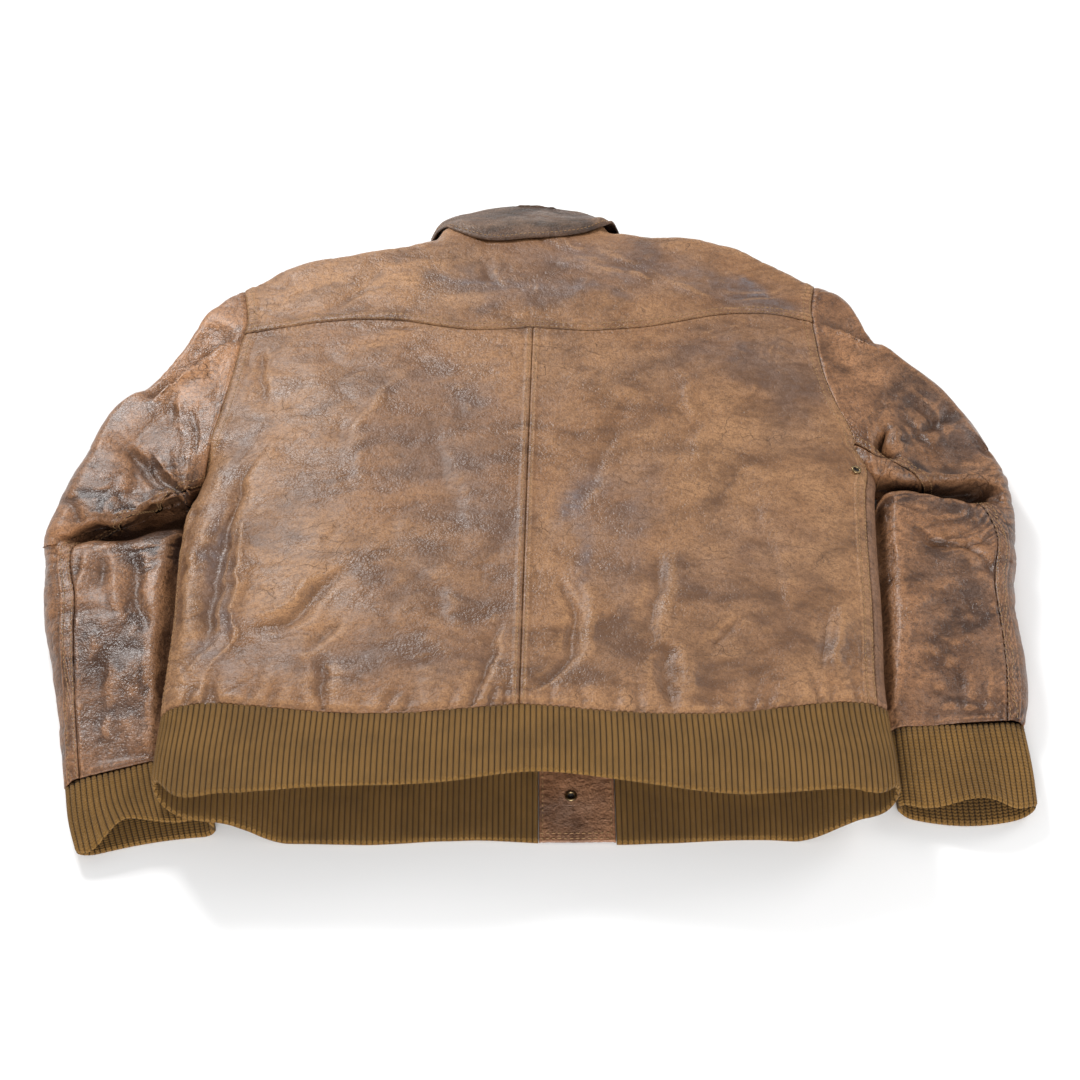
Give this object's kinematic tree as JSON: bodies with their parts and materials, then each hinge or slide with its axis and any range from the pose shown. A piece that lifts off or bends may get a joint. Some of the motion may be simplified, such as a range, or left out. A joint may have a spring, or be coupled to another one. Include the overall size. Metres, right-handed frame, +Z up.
{
  "type": "leather blouson jacket with knit waistband",
  "caption": "Worn brown leather blouson laid face down, arms bent at its sides, with a folded collar, yoke, rib-knit waistband and cuffs.",
  "frame": {"origin": "centre of the laid outline on the surface it lies on", "axes": "+Z up through the back, -Y toward the hem, +Y toward the collar, +X to the right as seen from the hem"},
  "size_m": [0.8006, 0.7545, 0.0698],
  "materials": {
    "back_leather": "worn satin, mottled with grey wear",
    "sleeve_leather": "worn, glossy on the creases",
    "front_leather": "worn satin",
    "collar_leather": "worn, darkened",
    "knit": "matt rib knit",
    "brass": "aged"
  },
  "bodies": {
    "root": {"yoke": "back_leather", "back_left": "back_leather", "back_right": "back_leather", "front_left": "front_leather", "front_right": "front_leather", "placket": "sleeve_leather", "collar": "collar_leather", "sleeve_left_upper": "sleeve_leather", "sleeve_left_under": "sleeve_leather", "sleeve_right_upper": "sleeve_leather", "sleeve_right_under": "sleeve_leather", "cuff_left": "knit", "cuff_right": "knit", "waistband": "knit", "snap": "brass", "eyelet": "brass"}
  },
  "joints": []
}
